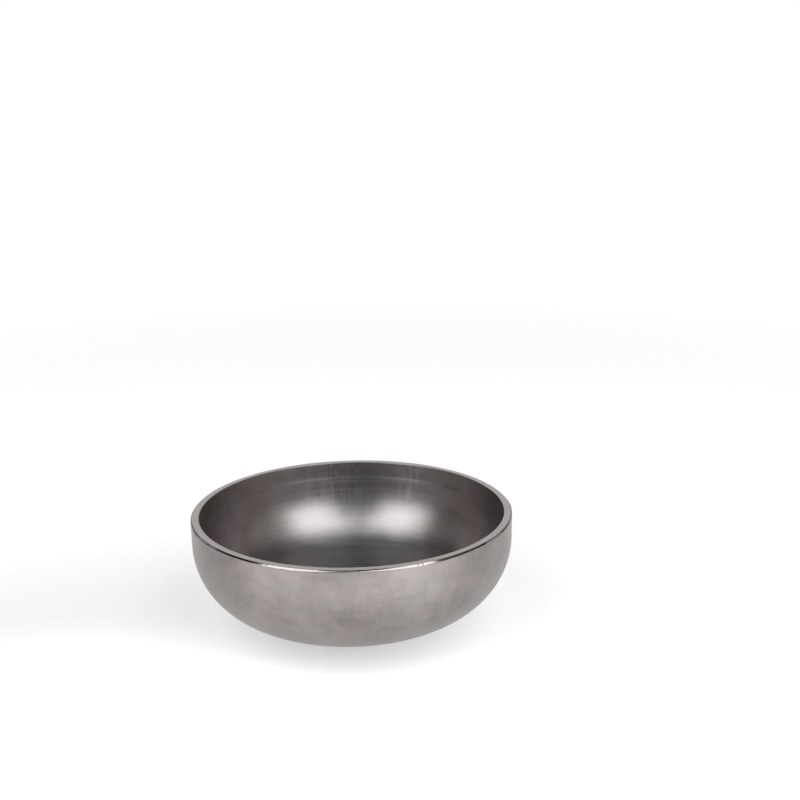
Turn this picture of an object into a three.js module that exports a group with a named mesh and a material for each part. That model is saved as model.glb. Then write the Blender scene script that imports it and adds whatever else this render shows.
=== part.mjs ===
// A butt-weld pipe cap: one seamless steel dish, hot pressed from plate, that is welded over the end of a
// DN 200 (NPS 8) pipe. It has no fasteners, seals or moving pieces, so it is one solid of revolution.
// Units are millimetres. +Z points out of the open weld end, and the origin is the lowest point of the
// outer crown, so the cap stands on the z = 0 plane with its open side up.

import * as THREE from 'three';

// Driving dimensions
const OUTSIDE_DIAMETER = 219.1; // that of the pipe it closes
const WALL = 6.0; // thickness of the pressed dish
const WELD_WALL = 5.6; // wall of the pipe, which the weld end is bored to match
const BORE_DEPTH = 12.0; // how far that machined bore runs in from the end face
const BORE_RUN_OUT = 0.6; // length of the cone where the tool ran out
const SKIRT_LENGTH = 17.0; // straight cylindrical part, measured outside
const KNUCKLE_RADIUS = 52.5; // outer radius of the rounded shoulder
const CROWN_RADIUS = 197.0; // outer radius of the shallow dish
const CHAMFER_WIDTH = 0.9; // outer corner of the end face, across the face
const CHAMFER_HEIGHT = 1.0; // the same corner, down the skirt
const INNER_BREAK = 0.3; // deburred inner corner of the end face

// Fineness of the faceted surface
const SEGMENTS_AROUND = 88;
const CROWN_STEPS = 7;
const KNUCKLE_STEPS = 11;

// Derived dimensions
const OUTER_RADIUS = OUTSIDE_DIAMETER / 2;
const BORE_RADIUS = OUTER_RADIUS - WELD_WALL;
const INNER_RADIUS = OUTER_RADIUS - WALL;
const KNUCKLE_CENTRE_RADIUS = OUTER_RADIUS - KNUCKLE_RADIUS;
const CROWN_ANGLE = Math.asin(KNUCKLE_CENTRE_RADIUS / (CROWN_RADIUS - KNUCKLE_RADIUS));
const HEAD_DEPTH = CROWN_RADIUS - (CROWN_RADIUS - KNUCKLE_RADIUS) * Math.cos(CROWN_ANGLE);
const OVERALL_HEIGHT = HEAD_DEPTH + SKIRT_LENGTH;

// A point of the profile, as radius from the cap's axis and height above the crown's lowest point.
function point(radius, height) {
  return new THREE.Vector2(radius, height);
}

// An arc from one angle to another, both measured up from straight down, without its last point.
function arc(centre, radius, from, to, steps) {
  const points = [];
  for (let i = 0; i < steps; i += 1) {
    const angle = from + ((to - from) * i) / steps;
    points.push(point(centre.x + radius * Math.sin(angle), centre.y - radius * Math.cos(angle)));
  }
  return points;
}

// The dish below the skirt, from the axis outwards: the crown and then the knuckle. The inner one is the
// outer one moved inwards by the wall, so both have the same arc centres.
function dish(wall) {
  const crownCentre = point(0, CROWN_RADIUS);
  const knuckleCentre = point(KNUCKLE_CENTRE_RADIUS, HEAD_DEPTH);
  const crown = arc(crownCentre, CROWN_RADIUS - wall, 0, CROWN_ANGLE, CROWN_STEPS);
  crown[0].x = 0;
  const knuckle = arc(knuckleCentre, KNUCKLE_RADIUS - wall, CROWN_ANGLE, Math.PI / 2, KNUCKLE_STEPS);
  return [...crown, ...knuckle];
}

// The whole section: up the outside, across the end face, and down the inside to the axis.
function section() {
  const boreEnd = OVERALL_HEIGHT - BORE_DEPTH;
  const outside = [...dish(0), point(OUTER_RADIUS, HEAD_DEPTH)];
  const weldEnd = [
    point(OUTER_RADIUS, OVERALL_HEIGHT - CHAMFER_HEIGHT),
    point(OUTER_RADIUS - CHAMFER_WIDTH, OVERALL_HEIGHT),
    point(BORE_RADIUS + INNER_BREAK, OVERALL_HEIGHT),
    point(BORE_RADIUS, OVERALL_HEIGHT - INNER_BREAK),
    point(BORE_RADIUS, boreEnd),
    point(INNER_RADIUS, boreEnd - BORE_RUN_OUT),
  ];
  const inside = [...dish(WALL), point(INNER_RADIUS, HEAD_DEPTH)].reverse();
  return [...outside, ...weldEnd, ...inside];
}

function makeCapBody() {
  const geometry = new THREE.LatheGeometry(section(), SEGMENTS_AROUND);
  geometry.rotateX(Math.PI / 2); // the lathe turns about Y, and the cap stands along Z
  const steel = new THREE.MeshStandardMaterial({ color: 0x938e8c, roughness: 0.38, metalness: 1.0 });
  const mesh = new THREE.Mesh(geometry, steel);
  mesh.name = 'cap_body';
  return mesh;
}

const pipeCap = new THREE.Group();
pipeCap.name = 'pipe_cap';
pipeCap.add(makeCapBody());

export default pipeCap;
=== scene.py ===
import math

import bpy
import numpy as np
from mathutils import Matrix, Vector


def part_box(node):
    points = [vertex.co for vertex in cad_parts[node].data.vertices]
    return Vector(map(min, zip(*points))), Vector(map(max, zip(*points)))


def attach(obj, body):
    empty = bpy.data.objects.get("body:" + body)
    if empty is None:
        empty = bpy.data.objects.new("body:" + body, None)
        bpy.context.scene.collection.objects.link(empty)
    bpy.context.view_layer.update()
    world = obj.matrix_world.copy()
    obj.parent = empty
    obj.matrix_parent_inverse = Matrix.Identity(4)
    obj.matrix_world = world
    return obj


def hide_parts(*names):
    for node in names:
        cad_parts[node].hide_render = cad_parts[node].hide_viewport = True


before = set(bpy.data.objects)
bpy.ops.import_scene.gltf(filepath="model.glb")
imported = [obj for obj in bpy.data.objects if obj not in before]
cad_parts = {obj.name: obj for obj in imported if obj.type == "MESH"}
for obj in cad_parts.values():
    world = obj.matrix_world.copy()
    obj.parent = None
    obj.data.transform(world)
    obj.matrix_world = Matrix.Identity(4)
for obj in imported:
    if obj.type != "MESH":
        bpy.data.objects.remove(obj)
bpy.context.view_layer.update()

# ----------------------------------------------------------------------------------------------
# The cap's dimensions, in metres. The outside radius and the height come from the CAD frame, and
# the others repeat its driving dimensions.
# ----------------------------------------------------------------------------------------------
MM = 0.001
_, node_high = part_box("cap_body")
OUTER = node_high.x
HEIGHT = node_high.z
WALL = 6.0 * MM
WELD_WALL = 5.6 * MM
BORE_DEPTH = 12.0 * MM
BORE_RUN_OUT = 0.6 * MM
SKIRT = 17.0 * MM
KNUCKLE = 52.5 * MM
CROWN = 197.0 * MM
CHAMFER_WIDTH = 0.9 * MM
CHAMFER_HEIGHT = 1.0 * MM
INNER_BREAK = 0.3 * MM

HEAD_DEPTH = HEIGHT - SKIRT
KNUCKLE_CENTRE = OUTER - KNUCKLE
CROWN_ANGLE = math.asin(KNUCKLE_CENTRE / (CROWN - KNUCKLE))
BORE = OUTER - WELD_WALL
INNER = OUTER - WALL

# What forming, machining and wear did to that shape
FORMING = 0.10 * MM  # mean depth of the pressed dish's unevenness
FINE_SHARE = 0.22  # how much of the fine waves is added to the broad ones
POLE_FADE = 30 * MM  # radius inside which that unevenness fades out
RIM_FADE = 9 * MM  # distance below the rim over which it fades to RIM_SHARE
RIM_SHARE = 0.25
FACE_WARP = 0.012 * MM  # mean depth of the end face's waviness
FACE_SINK = 0.001 * MM  # the least that the face lies below the CAD's top
EDGE_WEAR = 0.12 * MM  # how far the corners of the chamfer and the end face are worn back
RUN_OUT_WEAR = 1.4 * MM  # the same for the two corners of the bore's run-out
CHAMFER_CROWN = 0.05 * MM  # bulge across the ground chamfer
FRONT = -math.pi / 2  # the camera's side of the cap
GRIND_STROKES = 8  # strokes round the chamfer, each leaning it back and forth once
GRIND_START = FRONT + math.radians(4.0)
GRIND_LEAN = 0.32  # how far it leans, as a share of the chamfer's height
GRIND_CHATTER = (FRONT + math.radians(16), FRONT + math.radians(28))  # where the nicks are deepest

# Fineness of the rings round the axis. Of two neighbouring rings, one has as many points as the other
# or twice as many.
RIM_POINTS = 1152
WALL_POINTS = 576
FEWEST_POINTS = 36
HALVING = 0.52  # a ring under this share of the outside radius has half the points, and so on inwards
RING_GAP = 1.9 * MM
OUTER_SKIRT_RINGS = 7
INNER_SKIRT_RINGS = 2
RUN_OUT_STEPS = 6

# Places of rings, as depths below the rim
OUTER_SKIRT_TOP = 5.5 * MM  # where the plain rings of the skirt end
RIM_SKIRT_RINGS = (4.2 * MM, 3.0 * MM, 2.2 * MM)
RIM_BORE_RINGS = (1.5 * MM, 3.0 * MM)
BORE_RINGS = (5 * MM, 7 * MM, 9 * MM)
INNER_SKIRT_TOP = BORE_DEPTH + BORE_RUN_OUT + 1.5 * MM

# Face groups, in the order of the piece's material slots
OUTSIDE, CHAMFER, END_FACE, BORED, INSIDE = range(5)


# ----------------------------------------------------------------------------------------------
# Small unevenness that forming and grinding leave. All of it repeats exactly once round the axis.
# ----------------------------------------------------------------------------------------------
class Waves:
    """A sum of waves that run round the axis and along the profile, between about -1 and 1."""

    GAIN = 1.8

    def __init__(self, seed, count, lobes, length=1.0):
        """lobes: fewest and most crests round the axis. length: shortest wave along the profile, which
        makes no difference to waves that are only sampled round the axis."""
        draw = np.random.default_rng(seed)
        self.lobes = draw.integers(lobes[0], lobes[1] + 1, count)
        self.rate = draw.uniform(-1.0, 1.0, count) * 2 * math.pi / length
        self.phase = draw.uniform(0, 2 * math.pi, count)
        weight = 1 / np.sqrt(np.maximum(self.lobes, 1))
        self.weight = weight / weight.sum()

    def at(self, angle, along):
        total = np.zeros_like(angle)
        for lobes, rate, phase, weight in zip(self.lobes, self.rate, self.phase, self.weight):
            total += weight * np.cos(lobes * angle + rate * along + phase)
        return total * self.GAIN


def dips(seed, count, half_width, depth, span=(0.0, 2 * math.pi)):
    """Small notches at drawn angles: (angle, half width as an angle, depth) for each. half_width is
    given as the least and the greatest length, and depth likewise."""
    draw = np.random.default_rng(seed)
    found = []
    for _ in range(count):
        angle = draw.uniform(*span)
        width = draw.uniform(*half_width) / OUTER
        found.append((angle, width, draw.uniform(*depth)))
    return found


def dip_depth(found, angle):
    """How deep the notches cut at each angle."""
    total = np.zeros_like(angle)
    for centre, width, depth in found:
        off = (angle - centre + math.pi) % (2 * math.pi) - math.pi
        total = np.maximum(total, depth * np.exp(-((off / width) ** 2)))
    return total


outside_waves = Waves(11, 14, (2, 9), 70 * MM)
inside_waves = Waves(12, 14, (2, 9), 70 * MM)
fine_waves = Waves(13, 18, (10, 34), 45 * MM)
chamfer_waves = Waves(14, 16, (2, 40))
chamfer_height_waves = Waves(15, 16, (3, 60))
face_waves = Waves(16, 6, (2, 5))

edge_nicks = dips(21, 40, (0.5 * MM, 1.4 * MM), (0.03 * MM, 0.14 * MM))
edge_nicks += dips(22, 7, (0.5 * MM, 0.8 * MM), (0.2 * MM, 0.4 * MM), GRIND_CHATTER)
inner_nicks = dips(23, 30, (0.5 * MM, 1.2 * MM), (0.05 * MM, 0.2 * MM))


# ----------------------------------------------------------------------------------------------
# Profile. A ring is (radius, height, outward normal's two parts, length along the profile, group),
# where group is that of the faces between it and the next ring.
# ----------------------------------------------------------------------------------------------
def arc_rings(centre, radius, start, end, along, group):
    """Rings on an arc, with angles from straight down, leaving out the one at the end."""
    steps = max(2, math.ceil(radius * (end - start) / RING_GAP))
    rings = []
    for i in range(steps):
        angle = start + (end - start) * i / steps
        down, out = math.cos(angle), math.sin(angle)
        place = (centre[0] + radius * out, centre[1] - radius * down)
        rings.append((*place, out, -down, along + radius * (angle - start), group))
    return rings


def dish_rings(wall, group):
    """The crown and the knuckle at a depth of wall under the outer surface, pole first."""
    crown = arc_rings((0, CROWN), CROWN - wall, 0, CROWN_ANGLE, 0, group)
    joined = (CROWN - wall) * CROWN_ANGLE
    centre = (KNUCKLE_CENTRE, HEAD_DEPTH)
    knuckle = arc_rings(centre, KNUCKLE - wall, CROWN_ANGLE, math.pi / 2, joined, group)
    return crown + knuckle, joined + (KNUCKLE - wall) * (math.pi / 2 - CROWN_ANGLE)


def straight_rings(radius, low, high, steps, along, group):
    """Rings up a cylinder, leaving out the one at the top."""
    heights = [low + (high - low) * i / steps for i in range(steps)]
    return [(radius, z, 1.0, 0.0, along + z - low, group) for z in heights]


def ring_points(radius):
    """Points on a plain ring: WALL_POINTS, halved each time the radius halves."""
    count = WALL_POINTS
    while radius < OUTER * count / WALL_POINTS * HALVING and count > FEWEST_POINTS:
        count //= 2
    return count


def angles_of(count):
    return np.arange(count) * (2 * math.pi / count)


def settle(radius):
    """Fades the unevenness out towards the pole, where its crests would crowd together."""
    return min(1.0, radius / POLE_FADE) ** 1.5


def plain_ring(ring, waves):
    """Points of a ring of the dish or the skirt, with the unevenness left by forming."""
    radius, height, out, up, along, _ = ring
    angle = angles_of(ring_points(radius))
    shift = waves.at(angle, along) + FINE_SHARE * fine_waves.at(angle, along)
    shift = (shift - 1.0) * FORMING * settle(radius)
    below_rim = np.clip((HEIGHT - height) / RIM_FADE, 0, 1)
    shift = shift * (RIM_SHARE + (1 - RIM_SHARE) * below_rim)
    reach = radius + out * shift
    return ring_from(angle, reach, np.full_like(angle, height) + up * shift, along)


def ring_from(angle, radius, height, along):
    points = np.column_stack([radius * np.cos(angle), radius * np.sin(angle), height])
    return points, np.full(len(angle), along)


def weld_end_rings(along):
    """The machined end: the last of the skirt, the ground chamfer, the turned face and the bore.

    Gives (points, along, group) for each ring. Its corners are worn. The chamfer was ground by hand in a
    few strokes, so it leans back and forth, which changes its height most, and it is nicked.
    """
    angle = angles_of(RIM_POINTS)
    even = np.zeros_like(angle)
    skirt = OUTER + (outside_waves.at(angle, along) - 1.0) * FORMING * RIM_SHARE
    nick = dip_depth(edge_nicks, angle)
    lean = GRIND_LEAN * np.cos(GRIND_STROKES * (angle - GRIND_START))
    width = CHAMFER_WIDTH * (1 + 0.2 * lean + 0.1 * chamfer_waves.at(angle, even)) + 0.6 * nick
    tall = CHAMFER_HEIGHT * (1 - lean + 0.12 * chamfer_height_waves.at(angle, even)) + 0.5 * nick
    inner = INNER_BREAK + 0.6 * dip_depth(inner_nicks, angle)
    top = HEIGHT - np.maximum(FACE_WARP * (1 + face_waves.at(angle, even)), FACE_SINK)
    worn = EDGE_WEAR
    length = np.hypot(width, tall)
    slope_out, slope_up = width / length, tall / length

    rings = []

    def add(radius, height, group):
        rings.append((*ring_from(angle, radius, height, along), group))

    for below in RIM_SKIRT_RINGS:
        add(skirt, even + HEIGHT - below, OUTSIDE)
    add(skirt, top - tall - worn, OUTSIDE)
    add(skirt - 0.2 * worn * slope_out, top - tall - 0.2 * worn, CHAMFER)
    add(skirt - worn * slope_out, top - tall + worn * slope_up, CHAMFER)
    for share in (0.3, 0.5, 0.7):
        crowned = CHAMFER_CROWN * 4 * share * (1 - share) - 0.2 * nick
        add(skirt - width * share + crowned, top - tall * (1 - share) + crowned, CHAMFER)
    add(skirt - width + worn * slope_out, top - worn * slope_up, CHAMFER)
    add(skirt - width - 0.2 * worn, top - 0.04 * worn, END_FACE)
    add(skirt - width - worn, top, END_FACE)
    for share in (0.3, 0.65):
        add(skirt - width + (BORE + inner - skirt + width) * share, top, END_FACE)
    add(BORE + inner + worn, top, END_FACE)
    add(BORE + inner, top - 0.1 * worn, BORED)
    add(even + BORE + 0.1 * worn, top - inner, BORED)
    add(even + BORE, top - inner - worn, BORED)
    for below in RIM_BORE_RINGS:
        add(even + BORE, even + HEIGHT - below, BORED)
    return rings


def smooth(share):
    """0 to 1 with level ends."""
    return share * share * (3 - 2 * share)


def bore_rings(along):
    """Down the machined bore, and over its run-out, whose corners are worn, to the inner skirt."""
    end = HEIGHT - BORE_DEPTH
    length = BORE_RUN_OUT + 2 * RUN_OUT_WEAR
    steps = [(BORE, HEIGHT - below) for below in BORE_RINGS]
    for i in range(RUN_OUT_STEPS + 1):
        share = i / RUN_OUT_STEPS
        steps.append((BORE + (INNER - BORE) * smooth(share), end + RUN_OUT_WEAR - length * share))
    return [(r, z, 1.0, 0.0, along + HEAD_DEPTH + z - HEIGHT, BORED) for r, z in steps]


def cap_rings():
    """Every ring of points from the outer pole round to the inner pole, without the poles."""
    rings = []
    outer, top = dish_rings(0, OUTSIDE)
    skirt_top = HEIGHT - OUTER_SKIRT_TOP
    outer += straight_rings(OUTER, HEAD_DEPTH, skirt_top, OUTER_SKIRT_RINGS, top, OUTSIDE)
    for ring in outer[1:]:
        rings.append((*plain_ring(ring, outside_waves), ring[-1]))
    rings += weld_end_rings(top + SKIRT)
    inner, inner_top = dish_rings(WALL, INSIDE)
    skirt_top = HEIGHT - INNER_SKIRT_TOP
    inner += straight_rings(INNER, HEAD_DEPTH, skirt_top, INNER_SKIRT_RINGS, inner_top, INSIDE)
    for radius, height, _, _, along, group in bore_rings(inner_top):
        angle = angles_of(WALL_POINTS)
        rings.append((*ring_from(angle, radius, np.full_like(angle, height), along), group))
    rings[-1] = (*rings[-1][:2], INSIDE)  # the faces below the run-out belong to the inside
    for ring in reversed(inner[1:]):
        rings.append((*plain_ring(ring, inside_waves), ring[-1]))
    return rings


# ----------------------------------------------------------------------------------------------
# Mesh
# ----------------------------------------------------------------------------------------------
def strip_faces(low, low_count, high, high_count):
    """Faces between two rings, given the index of each ring's first point and its point count."""
    faces = []
    if low_count == high_count:
        for i in range(low_count):
            j = (i + 1) % low_count
            faces.append((low + i, low + j, high + j, high + i))
    elif low_count == 2 * high_count:
        for i in range(high_count):
            j = (i + 1) % high_count
            a, b, c = 2 * i, 2 * i + 1, (2 * i + 2) % low_count
            faces.append((low + a, low + b, high + i))
            faces.append((low + b, high + j, high + i))
            faces.append((low + b, low + c, high + j))
    else:
        for i in range(low_count):
            j = (i + 1) % low_count
            a, b, c = 2 * i, 2 * i + 1, (2 * i + 2) % high_count
            faces.append((low + i, high + b, high + a))
            faces.append((low + i, low + j, high + b))
            faces.append((low + j, high + c, high + b))
    return faces


def cap_faces(rings):
    """The cap's faces, and the group of each. Point 0 is the outer pole, and the last is the inner one."""
    counts = [len(points) for points, _, _ in rings]
    starts = [1 + sum(counts[:k]) for k in range(len(counts))]
    first, last = starts[0], starts[-1]
    inner_pole = 1 + sum(counts)
    faces = [(0, first + (i + 1) % counts[0], first + i) for i in range(counts[0])]
    groups = [OUTSIDE] * counts[0]
    for k in range(len(rings) - 1):
        made = strip_faces(starts[k], counts[k], starts[k + 1], counts[k + 1])
        faces += made
        groups += [rings[k][2]] * len(made)
    faces += [(last + i, last + (i + 1) % counts[-1], inner_pole) for i in range(counts[-1])]
    groups += [INSIDE] * counts[-1]
    return faces, groups


def make_cap():
    """The whole cap as one closed mesh, with the profile length of each point as an attribute."""
    rings = cap_rings()
    outer_pole, inner_pole = [[0.0, 0.0, 0.0]], [[0.0, 0.0, WALL]]
    points = np.concatenate([outer_pole, *(ring[0] for ring in rings), inner_pole])
    along = np.concatenate([[0.0], *(ring[1] for ring in rings), [0.0]])
    faces, groups = cap_faces(rings)
    mesh = bpy.data.meshes.new("cap_shell")
    mesh.from_pydata(points.tolist(), [], faces)
    mesh.polygons.foreach_set("material_index", np.array(groups, np.int32))
    mesh.polygons.foreach_set("use_smooth", np.ones(len(groups), bool))
    layer = mesh.attributes.new("along", "FLOAT", "POINT")
    layer.data.foreach_set("value", along.astype(np.float32))
    mesh.validate()
    mesh.update()
    cap = bpy.data.objects.new("cap_shell", mesh)
    bpy.context.scene.collection.objects.link(cap)
    return cap


# ----------------------------------------------------------------------------------------------
# Directions and node trees, for the materials, the floor and the light
# ----------------------------------------------------------------------------------------------
def direction(azimuth, elevation):
    """The way to azimuth and elevation, in degrees. Azimuth 0 is the camera's side, -Y, and 90 is +X."""
    turn = math.radians(azimuth)
    rise = math.radians(elevation)
    return Vector((math.sin(turn) * math.cos(rise), -math.cos(turn) * math.cos(rise), math.sin(rise)))


class Nodes:
    """A node tree, with short calls that add a node to it and give one of its outputs."""

    def __init__(self, tree):
        self.tree = tree

    def link(self, output, socket):
        self.tree.links.new(output, socket)

    def add(self, kind, inputs, output=0, **settings):
        """Adds a node and sets or links its inputs, which are given by name or number."""
        node = self.tree.nodes.new(kind)
        for key, value in settings.items():
            setattr(node, key, value)
        for key, value in inputs.items():
            if isinstance(value, bpy.types.NodeSocket):
                self.link(value, node.inputs[key])
            else:
                node.inputs[key].default_value = value
        return node.outputs[output]

    def math(self, operation, first, second=0.0):
        return self.add("ShaderNodeMath", {0: first, 1: second}, operation=operation)

    def vector(self, operation, first, second=(0, 0, 0), output=0):
        return self.add("ShaderNodeVectorMath", {0: first, 1: second}, output, operation=operation)

    def step(self, value, start, end, low=0.0, high=1.0):
        """low where value is under start, high where it is over end, and smooth between."""
        inputs = {"Value": value, "From Min": start, "From Max": end, "To Min": low, "To Max": high}
        return self.add("ShaderNodeMapRange", inputs, interpolation_type="SMOOTHSTEP")

    def within(self, way, middle, edge, full, high=1.0):
        """high where way is within full degrees of the middle way, 0 beyond edge, and smooth between."""
        near = self.vector("DOT_PRODUCT", way, middle, "Value")
        return self.step(near, math.cos(math.radians(edge)), math.cos(math.radians(full)), 0.0, high)


# ----------------------------------------------------------------------------------------------
# Materials. Every finish is the same warm grey steel, and they differ in how it was worked and in the
# painted shade and painted highlights that some of them carry.
# ----------------------------------------------------------------------------------------------
PINK_STEEL = (0.324, 0.282, 0.281, 1)
GREEN_STEEL = (0.296, 0.283, 0.268, 1)
# Painted shade: a darker brown steel for the bowl's two side walls.
PAINTED_SHADE_STEEL = (0.262, 0.212, 0.204, 1)
# Painted highlight tint: a bluish steel for the back of the bowl, where the lamps' highlights fall.
PAINTED_HIGHLIGHT_STEEL = (0.300, 0.286, 0.296, 1)
WHITE = (1, 1, 1, 1)

BRUSHED = 0.42  # of the inside and the bore
SHADED_SIDE = 93  # azimuth, and the side opposite gets the painted shade too
# azimuth of the painted highlight tint, at the back of the bowl
HIGHLIGHT_TINT_SIDE = 178
SCUFFS_AND_STREAKS_SIDES = ((-170, 15), (157, 7), (35, 12))  # each with its spread to either side
SCUFFS_AND_STREAKS_FROM, SCUFFS_AND_STREAKS_TO = HEIGHT - 40 * MM, HEIGHT - 22 * MM  # heights over which the scratches and the painted highlight streaks come in


class Finish(Nodes):
    """A metallic material, whose patterns follow the cap's own place, turn and profile."""

    def __init__(self, name):
        self.material = bpy.data.materials.new("steel_" + name)
        self.material.use_nodes = True
        super().__init__(self.material.node_tree)
        self.shader = self.tree.nodes["Principled BSDF"]
        self.shader.inputs["Metallic"].default_value = 1.0
        self.place = self.add("ShaderNodeTexCoord", {}, "Object")
        flat = self.vector("MULTIPLY", self.place, (1, 1, 0))
        self.round = self.vector("NORMALIZE", flat)
        self.along = self.add("ShaderNodeAttribute", {}, "Fac", attribute_name="along")

    def total(self, start, *shares):
        """start plus each (amount, value centred on a half) share."""
        for amount, value in shares:
            centred = self.math("SUBTRACT", value, 0.5)
            part = self.math("MULTIPLY", centred, amount)
            start = self.math("ADD", part, start)
        return start

    def noise(self, where, detail, roughness=0.5):
        inputs = {"Vector": where, "Scale": 1.0, "Detail": detail, "Roughness": roughness}
        return self.add("ShaderNodeTexNoise", inputs)

    def patches(self, size, shift=0.0):
        """A place to sample noise whose blobs are about size across."""
        scaled = self.vector("MULTIPLY", self.place, (1 / size,) * 3)
        return self.vector("ADD", scaled, (shift,) * 3)

    def worked(self, across, length, shift=0.0):
        """The same for noise that is drawn out: across round the axis, and length down the wall."""
        around = self.vector("MULTIPLY", self.round, (OUTER / across,) * 3)
        down = self.math("MULTIPLY", self.along, 1 / length)
        lifted = self.add("ShaderNodeCombineXYZ", {"Z": down})
        placed = self.vector("ADD", around, lifted)
        return self.vector("ADD", placed, (shift,) * 3)

    def height(self):
        return self.add("ShaderNodeSeparateXYZ", {0: self.place}, "Z")

    def towards(self, azimuth):
        """How far a point lies towards that side: 1 there, 0 a quarter turn away."""
        return self.vector("DOT_PRODUCT", self.round, direction(azimuth, 0), "Value")

    def side(self, azimuth, edge, full):
        """1 within full degrees of that side, 0 beyond edge, and smooth between."""
        return self.within(self.round, direction(azimuth, 0), edge, full)

    def tints(self, size, amount=3.6, middle=0.5):
        """0 where the steel is pinkish and 1 where it is greenish, in patches of about that size."""
        return self.total(middle, (amount, self.noise(self.patches(size, 7), 4, 0.6)))

    def mix(self, share, first, second):
        return self.add("ShaderNodeMix", {0: share, 6: first, 7: second}, 2, data_type="RGBA")

    def colour(self, tint, tone, painted_side_shade=0.0, painted_highlight_tint=0.0):
        """Pinkish to greenish steel by tint, with painted shade in a darker brown and a painted bluish
        highlight tint in part, and made lighter by tone.
        """
        mixed = self.mix(tint, PINK_STEEL, GREEN_STEEL)
        mixed = self.mix(painted_highlight_tint, self.mix(painted_side_shade, mixed, PAINTED_SHADE_STEEL), PAINTED_HIGHLIGHT_STEEL)
        toned = self.add("ShaderNodeVectorMath", {0: mixed, "Scale": tone}, operation="SCALE")
        self.link(toned, self.shader.inputs["Base Color"])

    def brushed(self, amount):
        """Stretches reflections down the wall, across marks that run round the axis."""
        tangent = self.add("ShaderNodeTangent", {}, direction_type="RADIAL", axis="Z")
        self.link(tangent, self.shader.inputs["Tangent"])
        self.shader.inputs["Anisotropic"].default_value = amount
        self.shader.inputs["Anisotropic Rotation"].default_value = 0.25

    def roughness(self, value):
        self.link(value, self.shader.inputs["Roughness"])

    def bump(self, *layers):
        """Fine relief from (depth in metres, value between 0 and 1) layers."""
        height = self.math("MULTIPLY", layers[0][1], layers[0][0] / MM)
        for depth, value in layers[1:]:
            height = self.math("ADD", self.math("MULTIPLY", value, depth / MM), height)
        relief = self.add("ShaderNodeBump", {"Height": height, "Distance": MM, "Strength": 1.0}, "Normal")
        self.link(relief, self.shader.inputs["Normal"])


def specks(finish, spacing, share, size):
    """1 in small pits scattered about spacing apart, of which only a share show, and 0 elsewhere."""
    where = finish.patches(spacing)
    inputs = {"Vector": where, "Scale": 1.0, "Randomness": 1.0}
    near = finish.add("ShaderNodeTexVoronoi", inputs, "Distance")
    tag = finish.add("ShaderNodeTexVoronoi", inputs, "Color")
    drawn = finish.add("ShaderNodeSeparateXYZ", {0: tag}, "X")
    shown = finish.step(drawn, 1 - share, 1 - share + 0.02)
    spot = finish.step(near, 0.4 * size / spacing, size / spacing, 1, 0)
    return finish.math("MULTIPLY", spot, shown)


def tool_lines(finish, depths, width, azimuth, spread):
    """1 on fine turned lines at these depths below the rim, on the side at azimuth, and 0 elsewhere."""
    height = finish.height()
    lines = 0.0
    for depth in depths:
        off = finish.math("ABSOLUTE", finish.math("SUBTRACT", height, HEIGHT - depth))
        lines = finish.math("MAXIMUM", finish.step(off, 0.3 * width, width, 1, 0), lines)
    return finish.math("MULTIPLY", lines, finish.side(azimuth, spread, 0.5 * spread))


def outside_finish():
    """Hot pressed and pickled: satin, with cloudy tints, faint draw marks and a few pits."""
    finish = Finish("outside")
    clouds = finish.noise(finish.patches(8 * MM), 4, 0.6)
    broad = finish.noise(finish.patches(32 * MM, 3), 2)
    grain = finish.noise(finish.patches(0.9 * MM), 3, 0.6)
    drawn = finish.noise(finish.worked(1.8 * MM, 30 * MM), 3, 0.6)
    rubbed = finish.noise(finish.worked(24 * MM, 2.2 * MM, 9), 3, 0.6)
    pits = specks(finish, spacing=13 * MM, share=0.3, size=0.8 * MM)
    lines = tool_lines(finish, (4.3 * MM, 5.7 * MM), width=0.45 * MM, azimuth=-10, spread=6)
    marks = finish.math("ADD", finish.math("MULTIPLY", pits, 0.3), finish.math("MULTIPLY", lines, 0.12))
    tone = finish.total(0.79, (0.4, clouds), (0.6, broad), (0.13, grain), (0.07, drawn), (0.14, rubbed))
    tone = finish.math("SUBTRACT", tone, marks)
    finish.colour(finish.tints(13 * MM, amount=2.6, middle=0.48), tone)
    finish.roughness(finish.total(0.38, (0.18, clouds), (0.12, grain), (0.1, broad)))
    finish.bump((0.014 * MM, grain), (0.004 * MM, drawn), (0.008 * MM, rubbed), (-0.03 * MM, pits))
    return finish.material


def scuffs_and_highlight_streaks(finish):
    """1 on scratches down the upper wall, partly painted highlight streaks, on a few given sides, and 0
    elsewhere.
    """
    lines = finish.step(finish.noise(finish.worked(1.7 * MM, 30 * MM, 6), 2, 0.7), 0.42, 0.64)
    scuffed_and_streaked = 0.0
    for azimuth, spread in SCUFFS_AND_STREAKS_SIDES:
        scuffed_and_streaked = finish.math("MAXIMUM", finish.side(azimuth, spread, 0.4 * spread), scuffed_and_streaked)
    upper = finish.step(finish.height(), SCUFFS_AND_STREAKS_FROM, SCUFFS_AND_STREAKS_TO)
    return finish.math("MULTIPLY", finish.math("MULTIPLY", lines, scuffed_and_streaked), upper)


def inside_painted_light(finish):
    """How far the bowl gets painted shade, a darker brown, on its two sides, and a painted bluish
    highlight tint, between them at the back. Patches break up both.
    """
    patches = finish.noise(finish.patches(26 * MM, 21), 3, 0.6)
    # Painted shade: the bowl's walls on its two sides, left and right of the camera, turn darker brown.
    sides = finish.math("ABSOLUTE", finish.towards(SHADED_SIDE))
    painted_side_shade = finish.step(finish.total(sides, (1.3, patches)), 0.45, 1.2)
    # Painted highlight tint: the back of the bowl, where the lamps' highlights fall, turns bluish.
    painted_highlight_tint = finish.step(finish.total(finish.towards(HIGHLIGHT_TINT_SIDE), (0.7, patches)), 0.6, 1.0)
    return painted_side_shade, painted_highlight_tint


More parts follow.
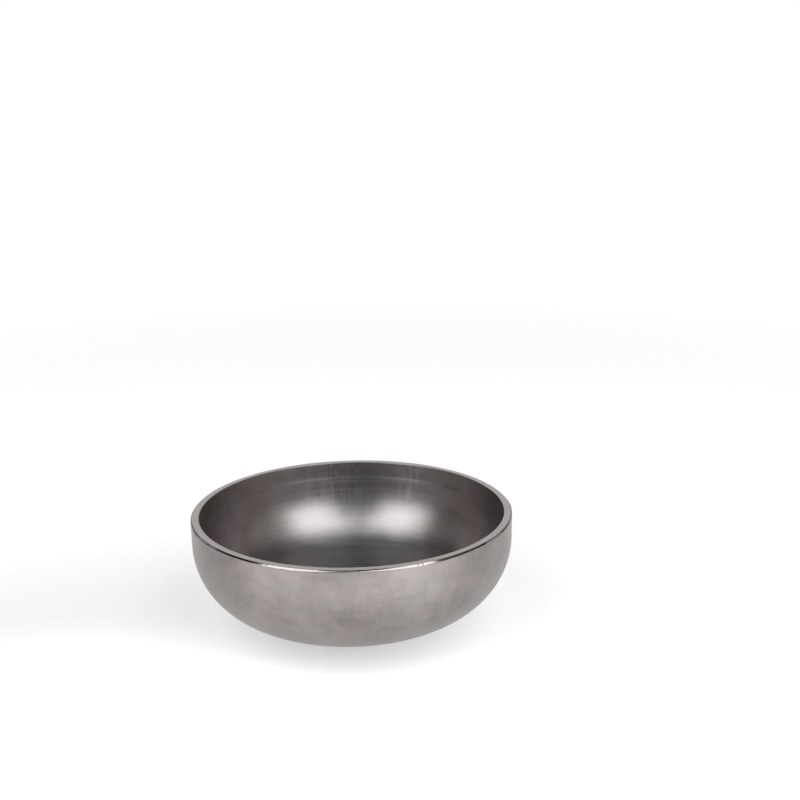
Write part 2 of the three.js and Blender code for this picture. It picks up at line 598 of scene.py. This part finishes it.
def inside_finish():
    """Pressed, then buffed round and round, with scratches down the wall, lighter in part as painted
    highlight streaks.
    """
    finish = Finish("inside")
    clouds = finish.noise(finish.patches(15 * MM), 4, 0.6)
    broad = finish.noise(finish.patches(45 * MM, 3), 2)
    grain = finish.noise(finish.patches(0.8 * MM), 3, 0.6)
    buffed = finish.noise(finish.worked(70 * MM, 0.8 * MM), 3, 0.7)
    rings = finish.noise(finish.worked(120 * MM, 3.2 * MM, 4), 2, 0.6)
    scuffs_and_streaks = scuffs_and_highlight_streaks(finish)
    painted_side_shade, painted_highlight_tint = inside_painted_light(finish)
    pits = specks(finish, spacing=15 * MM, share=0.3, size=0.7 * MM)
    tone = finish.total(0.955, (0.3, clouds), (0.16, broad), (0.22, grain), (0.34, buffed), (0.16, rings))
    # Partly painted highlight streaks: the scratches are drawn lighter than the wall between them.
    tone = finish.total(tone, (0.2, scuffs_and_streaks))
    tone = finish.math("SUBTRACT", tone, finish.math("MULTIPLY", pits, 0.3))
    finish.colour(finish.tints(15 * MM), tone, painted_side_shade, painted_highlight_tint)
    finish.roughness(finish.total(0.4, (0.1, clouds), (0.1, rings), (0.12, buffed), (0.05, scuffs_and_streaks)))
    finish.bump((0.006 * MM, grain), (0.009 * MM, buffed), (0.006 * MM, scuffs_and_streaks), (-0.03 * MM, pits))
    finish.brushed(BRUSHED)
    return finish.material


def bored_finish():
    """Machined, then wiped and scuffed, with scratches lighter in part as painted highlight streaks."""
    finish = Finish("bored")
    clouds = finish.noise(finish.patches(14 * MM), 4, 0.55)
    turned = finish.noise(finish.worked(300 * MM, 0.55 * MM), 2, 0.6)
    scuffs_and_streaks = scuffs_and_highlight_streaks(finish)
    painted_side_shade, painted_highlight_tint = inside_painted_light(finish)
    # The scratches' lighter tone is partly painted highlight streaks.
    tone = finish.total(0.9, (0.34, clouds), (0.16, turned), (0.22, scuffs_and_streaks))
    finish.colour(finish.tints(15 * MM), tone, painted_side_shade, painted_highlight_tint)
    finish.roughness(finish.total(0.38, (0.1, clouds), (0.1, turned)))
    finish.bump((0.012 * MM, turned), (0.006 * MM, scuffs_and_streaks))
    finish.brushed(BRUSHED)
    return finish.material


def face_finish():
    """Faced on a lathe and a little stained, with a fine grain."""
    finish = Finish("end_face")
    clouds = finish.noise(finish.patches(8 * MM), 4, 0.55)
    cut = finish.noise(finish.patches(0.5 * MM), 2, 0.6)
    finish.colour(finish.tints(12 * MM), finish.total(2.05, (0.5, clouds), (0.3, cut)))
    finish.roughness(finish.total(0.3, (0.1, clouds), (0.1, cut)))
    finish.bump((0.01 * MM, cut))
    return finish.material


def chamfer_finish():
    """Dark all round, with a painted highlight that makes it lighter in front, on the camera's side, and
    in scattered patches.
    """
    finish = Finish("chamfer")
    ground = finish.noise(finish.worked(3.5 * MM, 0.4 * MM), 3, 0.6)
    clouds = finish.noise(finish.patches(3 * MM), 3, 0.6)
    # Painted highlight: the chamfer is drawn lighter on the camera's side and in scattered patches, and
    # dark elsewhere.
    painted_glint_spots = finish.step(finish.noise(finish.worked(26 * MM, 90 * MM, 2), 2), 0.56, 0.62)
    painted_chamfer_glint = finish.math("MAXIMUM", finish.side(1, 31, 27), painted_glint_spots)
    tone = finish.math("ADD", finish.math("MULTIPLY", painted_chamfer_glint, 0.5), 0.22)
    tone = finish.math("MULTIPLY", tone, finish.total(1.0, (0.3, clouds), (0.2, ground)))
    finish.colour(finish.total(0.4, (1.6, clouds)), tone)
    finish.roughness(finish.total(0.2, (0.12, clouds), (0.1, ground)))
    finish.bump((0.012 * MM, ground), (0.01 * MM, clouds))
    return finish.material


cap = make_cap()
for make_finish in (outside_finish, chamfer_finish, face_finish, bored_finish, inside_finish):
    cap.data.materials.append(make_finish())
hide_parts("cap_body")
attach(cap, "root")


# ----------------------------------------------------------------------------------------------
# Camera, floor and light
# ----------------------------------------------------------------------------------------------
LENS = 50.2
SENSOR_WIDTH = 36.0
CAMERA_PITCH = math.radians(14.42)
CAMERA_ROLL = math.radians(-0.597)
CAMERA_OFFSET = Vector((0.3073, -6.6147, 2.3971)) * OUTER  # from the middle of the rim
SOFT_BOX_DISTANCE = 1.4
FLOOR_REACH = 12.0
WHITE_GLOW = 1.05  # enough for the far floor to look as white as the background
PANEL_EDGE, PANEL_FULL = 40, 12  # degrees from the panel's middle
SWEEP_EDGE, SWEEP_FULL = 101, 72  # degrees from straight behind the cap
SWEEP_BLUR = 3  # half the width of the sweep's soft upper edge, in degrees


def make_camera():
    """Looks along +Y, a little down, with a slight roll."""
    camera = bpy.data.objects.new("camera", bpy.data.cameras.new("camera"))
    bpy.context.scene.collection.objects.link(camera)
    camera.data.sensor_width = SENSOR_WIDTH
    camera.data.lens = LENS
    turn = Matrix.Rotation(math.pi / 2 - CAMERA_PITCH, 4, "X") @ Matrix.Rotation(CAMERA_ROLL, 4, "Z")
    camera.matrix_world = Matrix.Translation(Vector((0, 0, HEIGHT)) + CAMERA_OFFSET) @ turn
    camera.data.clip_start = 0.01
    camera.data.clip_end = 50
    bpy.context.scene.camera = camera


def make_floor(albedo, near_glow, far_glow, near, far, pools):
    """A wide pale floor that glows, so shadows stay faint.

    It glows less within near of the cap than beyond far, and more or less in round pools, given as
    (azimuth, distance, radius, glow). Farther out it turns white, like the background.
    """
    corners = [(x * FLOOR_REACH, y * FLOOR_REACH, 0) for x, y in ((-1, -1), (1, -1), (1, 1), (-1, 1))]
    mesh = bpy.data.meshes.new("floor")
    mesh.from_pydata(corners, [], [(0, 1, 2, 3)])
    material = bpy.data.materials.new("floor_white")
    material.use_nodes = True
    nodes = Nodes(material.node_tree)
    shader = nodes.tree.nodes["Principled BSDF"]
    shader.inputs["Base Color"].default_value = (albedo, albedo, albedo, 1)
    shader.inputs["Roughness"].default_value = 1.0
    shader.inputs["Specular IOR Level"].default_value = 0.0
    shader.inputs["Emission Color"].default_value = WHITE
    place = nodes.add("ShaderNodeTexCoord", {}, "Object")

    def ring_of_glow(centre, start, end, inner, outer):
        """inner within start of the centre, outer beyond end, and smooth between."""
        return nodes.step(nodes.vector("DISTANCE", place, centre, "Value"), start, end, inner, outer)

    middle = (0, 0, 0)
    glow = ring_of_glow(middle, near, far, near_glow, far_glow)
    glow = nodes.math("ADD", glow, ring_of_glow(middle, far, 3 * far, 0, WHITE_GLOW - far_glow))
    for azimuth, distance, radius, strength in pools:
        pool = ring_of_glow(direction(azimuth, 0) * distance, 0, radius, strength, 0)
        glow = nodes.math("ADD", glow, pool)
    nodes.link(glow, shader.inputs["Emission Strength"])
    mesh.materials.append(material)
    floor = bpy.data.objects.new("floor", mesh)
    bpy.context.scene.collection.objects.link(floor)


def make_soft_box(name, azimuth, elevation, width, height, radiance):
    """An area light aimed at the bowl."""
    way = direction(azimuth, elevation)
    data = bpy.data.lights.new(name, "AREA")
    data.shape = "RECTANGLE"
    data.size = width
    data.size_y = height
    data.energy = radiance * math.pi * width * height
    light = bpy.data.objects.new(name, data)
    light.location = Vector((0, 0, HEIGHT / 2)) + way * SOFT_BOX_DISTANCE
    light.rotation_euler = way.to_track_quat("Z", "Y").to_euler()
    light.visible_camera = False
    bpy.context.scene.collection.objects.link(light)


def make_world(dim, sweep, sweep_top, panel):
    """White where the camera sees it. Reflections see a dim room with two paler surfaces: a sweep
    behind the cap, up to sweep_top, and a soft panel on the right, as (azimuth, elevation, radiance)."""
    world = bpy.data.worlds.new("studio")
    bpy.context.scene.world = world
    world.use_nodes = True
    nodes = Nodes(world.node_tree)
    way = nodes.add("ShaderNodeTexCoord", {}, "Generated")
    azimuth, elevation, radiance = panel
    side = nodes.within(way, direction(azimuth, elevation), PANEL_EDGE, PANEL_FULL, radiance)
    down = 90 + sweep_top
    low = nodes.within(way, (0, 0, -1), down + SWEEP_BLUR, down - SWEEP_BLUR, sweep)
    behind = nodes.within(way, (0, 1, 0), SWEEP_EDGE, SWEEP_FULL)
    seen = nodes.math("MAXIMUM", side, nodes.math("MULTIPLY", low, behind))
    camera_ray = nodes.add("ShaderNodeLightPath", {}, "Is Camera Ray")
    inputs = {"Factor": camera_ray, "A": nodes.math("ADD", seen, dim), "B": 1.0}
    level = nodes.add("ShaderNodeMix", inputs, "Result")
    background = nodes.tree.nodes["Background"]
    background.inputs["Color"].default_value = WHITE
    nodes.link(level, background.inputs["Strength"])


make_camera()
lit_pools = [(32, 0.37, 0.3, 1.85), (-36, 0.32, 0.28, 1.0)]
shaded_pools = [(-75, 0.25, 0.3, -0.22), (0, 0, 0.11, -0.17), (0, 0, 0.055, -0.3)]
pools = lit_pools + shaded_pools
make_floor(albedo=0.4, near_glow=0.65, far_glow=0.75, near=0.13, far=0.75, pools=pools)
make_soft_box("soft_box_right", azimuth=40.0, elevation=44.3, width=0.97, height=1.38, radiance=4.4)
make_soft_box("soft_box_left", azimuth=-45.5, elevation=42.2, width=0.92, height=1.32, radiance=4.45)
make_world(dim=0.01, sweep=0.62, sweep_top=35, panel=(84, 24, 0.54))
bpy.context.scene.view_settings.view_transform = "Standard"
